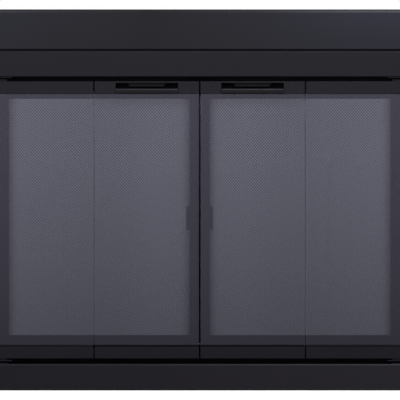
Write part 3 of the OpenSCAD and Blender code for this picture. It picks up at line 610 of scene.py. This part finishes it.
def rounded(corners):
    """A closed outline whose corners are arcs. A corner is (a, b, radius). With half the
    corner's angle h, the arc's centre lies radius / sin h along the bisector and its ends
    radius / tan h along the two sides; the arc is the even turn from one end to the other."""
    corners = np.array(corners, dtype=float)
    point, radius = corners[:, :2], corners[:, 2:]

    def unit(vectors):
        return vectors / np.linalg.norm(vectors, axis=1, keepdims=True)

    back = unit(np.roll(point, 1, axis=0) - point)
    ahead = unit(np.roll(point, -1, axis=0) - point)
    bisector = unit(back + ahead)
    half = np.arccos((back * bisector).sum(axis=1, keepdims=True))
    centre = point + bisector * radius / np.sin(half)
    first = point + back * radius / np.tan(half) - centre
    last = point + ahead * radius / np.tan(half) - centre
    turn = (math.pi - 2 * half)[:, None]
    share = np.linspace(0, 1, ARC_STEPS + 1)[None, :, None]
    arc = np.sin((1 - share) * turn) * first[:, None] + np.sin(share * turn) * last[:, None]
    return (centre[:, None] + arc / np.sin(turn)).reshape(-1, 2)


# The pull's section in millimetres: depth in front of the rail, height above its foot, radius
PULL_OUTER = ((0.0, 0.0, 0.05), (5.4, 0.0, 1.9), (8.4, 9.3, 1.9), (5.6, 9.3, 0.15))
PULL_INNER = ((5.2, 7.4, 0.9), (3.6, 2.2, 1.5), (0.0, 2.2, 0.05))
PULL_WALL = 1.5 * MM
END_ROUND = 10           # power of the superellipse that rounds the pull's ends
PULL_RINGS = 65


def handle_pull(side):
    """A formed pull with a rolled lip. Its section's depth is scaled along X by
    (1 - |s|^n)^(1/n), where s runs from -1 to 1 along the pull, so its ends turn back to the
    rail. The trough's points follow the same curve on a length one wall shorter at each end."""
    node = f"handle_pull_{side}"
    low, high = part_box(node)
    section = rounded(PULL_OUTER + PULL_INNER) * MM
    inner = np.arange(len(section)) >= len(rounded(PULL_OUTER))
    half = (high[0] - low[0]) / 2
    turn = np.linspace(0, math.pi, PULL_RINGS)
    along = np.sign(np.cos(turn)) * np.abs(np.cos(turn)) ** (2 / END_ROUND)
    reach = np.where(inner[None, :], half - PULL_WALL, half)
    share = np.minimum(np.abs(along[:, None]) * half / reach, 1.0)
    depth = section[None, :, 0] * (1 - share ** END_ROUND) ** (1 / END_ROUND)
    points = np.stack([(low[0] + high[0]) / 2 + half * along[:, None] + 0 * depth,
                       high[1] - depth, low[2] + section[None, :, 1] + 0 * depth], axis=-1)
    piece = add_piece(f"handle_pull_formed_{side}", *tubes(points[None]), SLOT[node], BODY[node])
    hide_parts(node)


for side in SIDES:
    handle_pull(side)


# ------------------------------------------------------------------ panes and rubber

PANE_EDGE = 0.9 * MM
LIP_EDGE = 1.1 * MM
SEAL_EDGE = 0.3 * MM
SEAL_REACH = 3 * MM      # the fold seal lies within this of the inner pane's edge

for side in SIDES:
    for panel in ("outer", "inner"):
        edged(f"{panel}_glass_{side}", PANE_EDGE, 3)
    edged(f"outer_gaskets_{side}", LIP_EDGE, 3)


def split_inner_gaskets(side):
    """The two channels of black rubber, and the clear seal behind the fold."""
    node = f"inner_gaskets_{side}"
    sign = SIDES[side]
    fold_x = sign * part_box(f"inner_glass_{side}")[0 if sign < 0 else 1][0]

    def is_seal(point):
        near = abs(sign * point.x - fold_x) < SEAL_REACH
        return near and Z_SEAL[0] < point.z < Z_SEAL[1]

    edged(node, LIP_EDGE, 3, keep=lambda point: not is_seal(point), finish=INNER_SEAL)
    edged(node, SEAL_EDGE, 2, name=f"fold_seal_{side}", keep=is_seal, finish=FOLD_SEAL)


# The fold seal runs between the lower channel's lip and the upper channel
Z_SEAL = (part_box("astragal")[0][2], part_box("astragal")[1][2] + 0.6 * MM)
for side in SIDES:
    split_inner_gaskets(side)


# ------------------------------------------------------------------ wire nets

CELL_WIDTH = 5.53 * MM   # the net's diamond cells
CELL_HEIGHT = 6.13 * MM
WIRE_RADIUS = 0.46 * MM
SELVEDGE = 25 * MM       # width over which the cells spread out beside the gate's bars
CLOSEST = 0.31           # width of the cells behind the bars, as a part of the plain width
WIRE_SIDES = 6
RETAINER_W = 5 * MM      # width of the bars that press the net to its gate
FINE_STEPS = 4000        # steps in which the columns' places are summed


def knot_columns(low, high, rim):
    """Places of the knots from side to side, half a cell apart: the cells are the closest
    over the rim, which lies behind a bar, then open along a smooth step over the selvedge.
    The steps are summed and scaled to fit the width exactly."""
    width = high - low
    fine = np.linspace(0.0, 1.0, FINE_STEPS)
    depth = np.clip((np.minimum(fine, 1 - fine) * width - rim) / SELVEDGE, 0, 1)
    pitch = CELL_WIDTH / 2 * (CLOSEST + (1 - CLOSEST) * depth ** 2 * (3 - 2 * depth))
    count = np.concatenate([[0.0], np.cumsum(width / len(fine) / pitch[1:])])
    whole = np.arange(int(count[-1]) + 1)
    return low + width * np.interp(whole * count[-1] / whole[-1], count, fine)


def diagonal_wires(columns, rows, middle, slope):
    """Crimped wires with six sides that run from corner to corner of the cells. Knot (a, c)
    lies at columns[a], rows[2 c + a % 2]. From there a rising wire (slope 1) goes to the next
    column's knot one row up, a falling wire (slope -1) to the one a row down. Where a rising
    wire is lifted by its radius a falling one is lowered, and the other way round one knot on."""
    stack = len(rows) // 2
    a = np.arange(len(columns))[:, None]
    c = np.arange(stack)[None, :]
    odd = a % 2
    across = np.gradient(columns)[:, None]
    up = slope * (rows[1] - rows[0])
    length = np.hypot(across, up)
    turn = np.arange(WIRE_SIDES) * 2 * math.pi / WIRE_SIDES
    aside = WIRE_RADIUS * np.cos(turn)
    deep = middle + slope * WIRE_RADIUS * (1 - 2 * odd) + WIRE_RADIUS * np.sin(turn)
    x = (columns[:, None] + aside * up / length)[:, None, :] + 0 * c[..., None]
    z = rows[2 * c + odd][..., None] - (aside * across / length)[:, None, :]
    points = np.stack([x, deep[:, None, :] + 0 * x, z], axis=-1)

    ahead = c + odd - (0 if slope > 0 else 1)
    goes_on = (a < len(columns) - 1) & (ahead >= 0) & (ahead < stack)
    here = (a * stack + c)[goes_on]
    there = ((a + 1) * stack + ahead)[goes_on]
    now = np.arange(WIRE_SIDES)
    after = (now + 1) % WIRE_SIDES
    here_ring, there_ring = WIRE_SIDES * here[:, None], WIRE_SIDES * there[:, None]
    walls = np.stack([here_ring + now, here_ring + after,
                      there_ring + after, there_ring + now], axis=-1)
    # A cap is two quads on a ring's six points
    half_cap = np.array([[0, 1, 2, 3], [0, 3, 4, 5]])
    starts = WIRE_SIDES * np.setdiff1d(here, there)[:, None, None] + half_cap[:, ::-1]
    ends = WIRE_SIDES * np.setdiff1d(there, here)[:, None, None] + half_cap
    faces = np.concatenate([walls.reshape(-1, 4), starts.reshape(-1, 4), ends.reshape(-1, 4)])
    used, faces = np.unique(faces, return_inverse=True)
    return points.reshape(-1, 3)[used], faces.reshape(-1, 4)


def woven_net(side):
    """Two layers of crimped diagonal wires that pass over and under each other. The cells
    close up towards the gate's stiles."""
    node = f"gate_net_{side}"
    low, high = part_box(node)
    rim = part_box(f"gate_retainer_{side}")[0][0] - low[0] + RETAINER_W
    columns = knot_columns(low[0] + WIRE_RADIUS, high[0] - WIRE_RADIUS, rim)
    tall = high[2] - low[2] - 2 * WIRE_RADIUS
    rows = low[2] + WIRE_RADIUS + np.linspace(0, tall, 2 * round(tall / CELL_HEIGHT))
    for name, slope in (("net_rising", 1), ("net_falling", -1)):
        wires = diagonal_wires(columns, rows, (low[1] + high[1]) / 2, slope)
        piece = add_piece(f"{name}_{side}", *wires, "net_wire", BODY[node], outward=True)
        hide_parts(node)


for side in SIDES:
    woven_net(side)


# ------------------------------------------------------------------ fasteners

BOLT_X = 0.300           # distance of the clamps and brackets from the middle
BRACKET_SHEET = 2.0 * MM

# Profiles in millimetres: radius, height over the seat. First a pan head screw, from its tip
# to the floor of its socket
PAN_SCREW = ((1.3, -6.0), (1.75, -5.5), (1.75, 0.0), (3.5, 0.0), (3.6, 0.3), (3.6, 1.2),
             (3.3, 1.9), (2.6, 2.3), (1.9, 2.4), (1.6, 2.4), (1.5, 2.3), (1.5, 1.1), (0.1, 0.9))
SOCKET_RINGS = (10, 11)
RIVET = ((1.6, -1.0), (1.8, 0.0), (2.2, 0.0), (2.2, 0.15), (1.9, 0.4), (1.2, 0.5), (0.1, 0.5))
# The clamps' swivel pad, and the hub of the wing nut
PAD = ((2.5, -3.0), (4.0, -3.0), (10.5, -3.0), (11.0, -2.6), (11.0, -0.5), (10.6, -0.1),
       (10.0, 0.0), (0.1, 0.0))
HUB = ((3.1, 0.0), (6.2, 0.0), (6.5, 0.4), (6.4, 2.0), (5.5, 8.2), (5.0, 8.8), (4.4, 9.0),
       (3.1, 9.0))
# One wing in millimetres: distance from the axis, drop under the bracket, radius
WING = ((3.0, 3.4, 0.5), (8.0, 3.2, 2.5), (14.8, 6.0, 3.0), (14.8, 12.8, 2.6),
        (9.0, 12.8, 3.0), (3.0, 9.0, 0.5))
WING_HALF = 1.2 * MM     # half its thickness
# Its layers: place in that half, size of the outline
WING_LAYERS = ((-1.0, 0.93), (-0.7, 1.0), (0.7, 1.0), (1.0, 0.93))

# Where the frame's screws sit: in from a jamb's inner edge, to either side of a bracket's
# middle, and from the rail's edge
CORNER_SCREWS = (18 * MM, 34 * MM)
BRACKET_SCREWS = 12 * MM
RAIL_SCREWS = 6 * MM

BOLT_RADIUS = 3 * MM
BOLT_TIP = 2.5 * MM      # how far the bolt ends under the pad's face
THREAD_PITCH = 1.0 * MM
THREAD_DEPTH = 0.14      # as a part of the bolt's radius
THREAD_RINGS = 4         # rings in one turn

SMALL = 0.6              # size of the retainers' screws beside the frame's
LOW_HEAD = 0.6           # height of their heads beside that
UPRIGHT_SCREWS = 6       # along each upright bar, its ends counted
LEVEL_SCREWS = 5         # along each level bar, its ends counted

RIVETS_FROM_FOLD = (9 * MM, 23 * MM)
RIVETS_FROM_END = 10.5 * MM
LEAF = 1.5 * MM          # thickness of a hinge's leaf


def socketed(angle):
    """Factor on each ring's radius: a hexagon, cos 30 / cos(angle - 30) in each sixth of a
    turn, for the socket's rings, and 1 for the others."""
    sixth = math.pi / 3
    hexagon = math.cos(sixth / 2) / np.cos(angle % sixth - sixth / 2)
    rings = np.ones((len(PAN_SCREW), len(angle)))
    rings[list(SOCKET_RINGS)] = hexagon
    return rings


def millimetres(profile, scale=1.0):
    """A profile of radius and height, turned from millimetres into metres."""
    return np.array(profile) * MM * scale


def mesh_of(parts):
    """Joins several (points, faces) sets into one."""
    points, faces, count = [], [], 0
    for verts, polygons in parts:
        points.append(verts)
        faces += [[index + count for index in polygon] for polygon in polygons]
        count += len(verts)
    return np.concatenate(points), faces


def frame_screws():
    """The screws of the corner brackets, two in each corner, and those of the brackets behind
    the two rails, two to a bracket."""
    node = "frame_screws"
    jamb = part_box("side_jamb_right")[0][0]
    sill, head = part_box("bottom_rail")[1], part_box("header_rail")[0]
    corner = [side * (jamb + along) for side in (-1, 1) for along in CORNER_SCREWS]
    bracket = [side * BOLT_X + along
               for side in (-1, 1) for along in (-BRACKET_SCREWS, BRACKET_SCREWS)]
    heights = (sill[2] - RAIL_SCREWS, head[2] + RAIL_SCREWS)
    seats = (
        ((0, 0, 1), [(x, 0.0, sill[2] + BRACKET_SHEET) for x in corner]),
        ((0, 0, -1), [(x, 0.0, head[2] - BRACKET_SHEET) for x in corner]),
        ((0, 1, 0), [(x, sill[1] + BRACKET_SHEET, z) for x in bracket for z in heights]),
    )
    screw = millimetres(PAN_SCREW)
    parts = [turned(places, axis, screw, sides=24, shape=socketed) for axis, places in seats]
    piece = add_piece("socket_screws", *mesh_of(parts), SLOT[node], BODY[node])
    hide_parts(node)


def threaded(places, radius, low, high):
    """A rod along Z with a thread: at height h and angle a its radius is less by the depth
    times |2 p - 1|, where p is the fractional part of h / pitch - a / full turn."""
    height = np.linspace(low, high, round((high - low) / THREAD_PITCH * THREAD_RINGS) + 1)

    def groove(angle):
        phase = (height[:, None] / THREAD_PITCH - angle[None, :] / (2 * math.pi)) % 1
        return 1 - THREAD_DEPTH * np.abs(2 * phase - 1)

    rod = [(radius, h) for h in height]
    return turned(places, (0, 0, 1), rod, sides=20, shape=groove)


def clamp_bolts():
    """Threaded bolts with a swivel pad at the top and a wing nut under the clamp. A wing is an
    outline carried through its thickness, drawn in a little at its two faces."""
    node = "clamp_bolts"
    low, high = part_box(node)
    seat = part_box("lintel_clamps")[1][2] - BRACKET_SHEET
    axis_y = high[1] - max(radius for radius, _ in PAD) * MM
    places = [(side * BOLT_X, axis_y) for side in (-1, 1)]
    rods = threaded([(x, y, 0.0) for x, y in places], BOLT_RADIUS, low[2], high[2] - BOLT_TIP)
    pad_places = [(x, y, high[2]) for x, y in places]
    pads = turned(pad_places, (0, 0, 1), millimetres(PAD), sides=40)
    hubs = turned([(x, y, seat) for x, y in places], (0, 0, -1), millimetres(HUB), sides=32)
    outline = rounded(WING) * MM
    middle = outline.mean(axis=0)
    depth, share = np.array(WING_LAYERS).T[:, :, None]
    ring = middle + (outline - middle) * share[..., None]
    wing = np.stack([ring[..., 0], depth * WING_HALF + 0 * ring[..., 0], -ring[..., 1]], axis=-1)
    pairs = [wing * (flip, 1, 1) + (x, y, seat) for x, y in places for flip in (1, -1)]
    wings = tubes(np.array(pairs))
    pieces = (("bolt_rods", [rods]), ("swivel_pads", [pads]), ("wing_nuts", [hubs, wings]))
    for name, parts in pieces:
        piece = add_piece(name, *mesh_of(parts), SLOT[node], BODY[node])
        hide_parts(node)


def retainer_screws(side):
    """Small screws along the middle of the four bars behind a gate's net."""
    node = f"gate_retainer_{side}"
    low, high = (np.array(corner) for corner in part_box(node))
    inset = RETAINER_W / 2
    upright = np.linspace(low[2] + inset, high[2] - inset, UPRIGHT_SCREWS)
    level = np.linspace(low[0] + inset, high[0] - inset, LEVEL_SCREWS)[1:-1]
    places = [(x, high[1], z) for x in (low[0] + inset, high[0] - inset) for z in upright]
    places += [(x, high[1], z) for x in level for z in (low[2] + inset, high[2] - inset)]
    screw = millimetres(PAN_SCREW, SMALL) * (1, LOW_HEAD)
    screws = turned(places, (0, 1, 0), screw, sides=20, shape=socketed)
    add_piece(f"retainer_screws_{side}", *screws, "screw_steel", BODY[node])


def hinge_rivets(panel, side):
    """Two flat rivets through each leaf of the fold hinges, on the leaf's centre line."""
    node = f"{panel}_hinge_leaves_{side}"
    low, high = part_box(node)
    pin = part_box(f"hinge_pins_{side}")
    fold = abs(pin[0][0] + pin[1][0]) / 2
    outward = 1 if panel == "outer" else -1
    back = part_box(f"{panel}_top_rail_{side}")[1][1] + LEAF
    heights = (low[2] + RIVETS_FROM_END, high[2] - RIVETS_FROM_END)
    places = [(SIDES[side] * (fold + outward * along), back, z)
              for along in RIVETS_FROM_FOLD for z in heights]
    rivets = turned(places, (0, 1, 0), millimetres(RIVET), sides=24)
    add_piece(f"{panel}_hinge_rivets_{side}", *rivets, SLOT[node], BODY[node])


frame_screws()
clamp_bolts()
for side in SIDES:
    retainer_screws(side)
    for panel in ("outer", "inner"):
        hinge_rivets(panel, side)


# ------------------------------------------------------------------ stage and light

# What gloss sees by the height of its direction: the dim floor, a white wall, a bright soft
# box above it and a dim ceiling
GLOSS_PEAK = 2.2
GLOSS_SKY = ((-0.12, 0.396), (0.06, 1.0), (0.20, 1.0), (0.36, 2.2), (0.86, 2.2), (0.96, 0.35),
             (1.0, 0.35))
# It dims towards the sides, by the size of the direction's part along X
GLOSS_SIDES = ((0.0, 1.0), (0.35, 1.0), (0.85, 0.55), (1.0, 0.55))
# It is dimmer behind the part, by the size of the direction's part along Y
GLOSS_BEHIND = ((-1.0, 1.0), (0.0, 1.0), (0.35, 0.45), (1.0, 0.45))
# Level of the backdrop at the horizon, for gloss and for what the glass shows behind the part
HORIZON_GLOSS = 0.83
HORIZON_GLASS = 0.895
GLASS_RISE = 3.9         # how fast the second one rises to white above the horizon
GLASS_LEAST = 0.4        # and where it ends below it
FALL = 1.50              # how fast the floor darkens towards the object
CAMERA_REACH = 3.4
FLOOR_HALF = 9.0
FLOOR_TONE = 0.80
FLOOR_GLOW = 0.62        # lifts the floor to near white for the camera alone
FILL = 0.45              # even light from all round
LAMPS = {
    # name: place, the point that it is turned to, width, watts
    "key": ((0.9, -2.6, 2.9), (0, 0, 0.40), 1.8, 55),
    "fill": ((-2.2, -2.2, 1.5), (0, 0, 0.38), 1.6, 18),
    "back": ((0.4, 2.4, 2.4), (0, 0, 0.40), 1.6, 20),
}


def any_ray(tree, *kinds):
    """1 for rays of any of the named kinds, otherwise 0."""
    rays = tree.nodes.new("ShaderNodeLightPath")
    seen = rays.outputs[kinds[0]]
    for kind in kinds[1:]:
        seen = math_node(tree, "MAXIMUM", seen, rays.outputs[kind])
    return seen


def mirrored(tree):
    """1 for reflected rays, and 0 for rays that passed through glass, which count as glossy."""
    through = math_node(tree, "SUBTRACT", 1, any_ray(tree, "Is Transmission Ray"))
    return math_node(tree, "MULTIPLY", any_ray(tree, "Is Glossy Ray"), through)


def make_floor():
    """A pale floor that keeps shadows for the camera. Gloss and glass see it as a plain
    backdrop: its level falls by FALL / (distance + CAMERA_REACH) towards the object."""
    mesh = bpy.data.meshes.new("floor")
    corners = ((-1, -1), (1, -1), (1, 1), (-1, 1))
    mesh.from_pydata([(x * FLOOR_HALF, y * FLOOR_HALF, 0) for x, y in corners], [], [(0, 1, 2, 3)])
    floor = bpy.data.objects.new("floor", mesh)
    bpy.context.scene.collection.objects.link(floor)
    mat = bpy.data.materials.new("floor_pale")
    mat.use_nodes = True
    tree = mat.node_tree
    tree.nodes.clear()
    diffuse = tree.nodes.new("ShaderNodeBsdfDiffuse")
    diffuse.inputs["Color"].default_value = (FLOOR_TONE, FLOOR_TONE, FLOOR_TONE, 1)
    glow = tree.nodes.new("ShaderNodeEmission")
    glow.inputs["Color"].default_value = (1, 1, 1, 1)
    lift = math_node(tree, "MULTIPLY", any_ray(tree, "Is Camera Ray"), FLOOR_GLOW)
    tree.links.new(lift, glow.inputs["Strength"])
    camera_look = tree.nodes.new("ShaderNodeAddShader")
    tree.links.new(diffuse.outputs[0], camera_look.inputs[0])
    tree.links.new(glow.outputs[0], camera_look.inputs[1])

    coords = tree.nodes.new("ShaderNodeTexCoord")
    length = tree.nodes.new("ShaderNodeVectorMath")
    length.operation = "LENGTH"
    tree.links.new(coords.outputs["Object"], length.inputs[0])
    reach = math_node(tree, "ADD", length.outputs["Value"], CAMERA_REACH)
    fall = math_node(tree, "DIVIDE", FALL, reach)
    glass_level = math_node(tree, "SUBTRACT", HORIZON_GLASS, fall)
    gloss_drop = math_node(tree, "MULTIPLY", mirrored(tree), HORIZON_GLASS - HORIZON_GLOSS)
    backdrop = tree.nodes.new("ShaderNodeEmission")
    backdrop.inputs["Color"].default_value = (1, 1, 1, 1)
    level = math_node(tree, "SUBTRACT", glass_level, gloss_drop)
    tree.links.new(level, backdrop.inputs["Strength"])

    look = tree.nodes.new("ShaderNodeMixShader")
    tree.links.new(any_ray(tree, "Is Glossy Ray", "Is Transmission Ray"), look.inputs["Fac"])
    tree.links.new(camera_look.outputs[0], look.inputs[1])
    tree.links.new(backdrop.outputs[0], look.inputs[2])
    out = tree.nodes.new("ShaderNodeOutputMaterial")
    tree.links.new(look.outputs[0], out.inputs["Surface"])
    mesh.materials.append(mat)


def background(tree, strength):
    """A white Background whose strength is a number or a socket."""
    node = tree.nodes.new("ShaderNodeBackground")
    node.inputs["Color"].default_value = (1, 1, 1, 1)
    if isinstance(strength, (int, float)):
        node.inputs["Strength"].default_value = strength
    else:
        tree.links.new(strength, node.inputs["Strength"])
    return node.outputs[0]


def mix_shader(tree, factor, first, second):
    """Mixes two shader sockets by a factor socket."""
    node = tree.nodes.new("ShaderNodeMixShader")
    tree.links.new(factor, node.inputs["Fac"])
    tree.links.new(first, node.inputs[1])
    tree.links.new(second, node.inputs[2])
    return node.outputs[0]


def make_world():
    """White for the camera, a studio for gloss, a backdrop for glass and a dimmer even fill
    for the rest."""
    world = bpy.data.worlds.new("studio")
    bpy.context.scene.world = world
    world.use_nodes = True
    tree = world.node_tree
    tree.nodes.clear()
    coords = tree.nodes.new("ShaderNodeTexCoord")
    split = tree.nodes.new("ShaderNodeSeparateXYZ")
    tree.links.new(coords.outputs["Generated"], split.inputs[0])
    toward = split.outputs
    levels = [(at, level / GLOSS_PEAK) for at, level in GLOSS_SKY]
    sky = math_node(tree, "MULTIPLY", ramp(tree, toward["Z"], levels), GLOSS_PEAK)
    sideways = math_node(tree, "ABSOLUTE", toward["X"], 0)
    sky = math_node(tree, "MULTIPLY", sky, ramp(tree, sideways, GLOSS_SIDES))
    sky = math_node(tree, "MULTIPLY", sky, ramp(tree, toward["Y"], GLOSS_BEHIND))
    rise = math_node(tree, "MULTIPLY", toward["Z"], GLASS_RISE)
    rise = math_node(tree, "MINIMUM", math_node(tree, "ADD", rise, HORIZON_GLASS), 1.0)
    behind = math_node(tree, "MAXIMUM", rise, GLASS_LEAST)
    seen = mix_shader(tree, mirrored(tree), background(tree, FILL), background(tree, sky))
    seen = mix_shader(tree, any_ray(tree, "Is Transmission Ray"), seen, background(tree, behind))
    seen = mix_shader(tree, any_ray(tree, "Is Camera Ray"), seen, background(tree, 1.0))
    out = tree.nodes.new("ShaderNodeOutputWorld")
    tree.links.new(seen, out.inputs["Surface"])


def area_light(name, place, target, size, watts):
    """A square soft box at a place, turned to a target."""
    data = bpy.data.lights.new(name, "AREA")
    data.shape = "SQUARE"
    data.size = size
    data.energy = watts
    lamp = bpy.data.objects.new(name, data)
    lamp.location = place
    aim = Vector(target) - Vector(place)
    lamp.rotation_euler = aim.to_track_quat("-Z", "Y").to_euler()
    bpy.context.scene.collection.objects.link(lamp)


make_floor()
make_world()
for name, setting in LAMPS.items():
    area_light(name, *setting)

bpy.context.scene.view_settings.view_transform = "Standard"
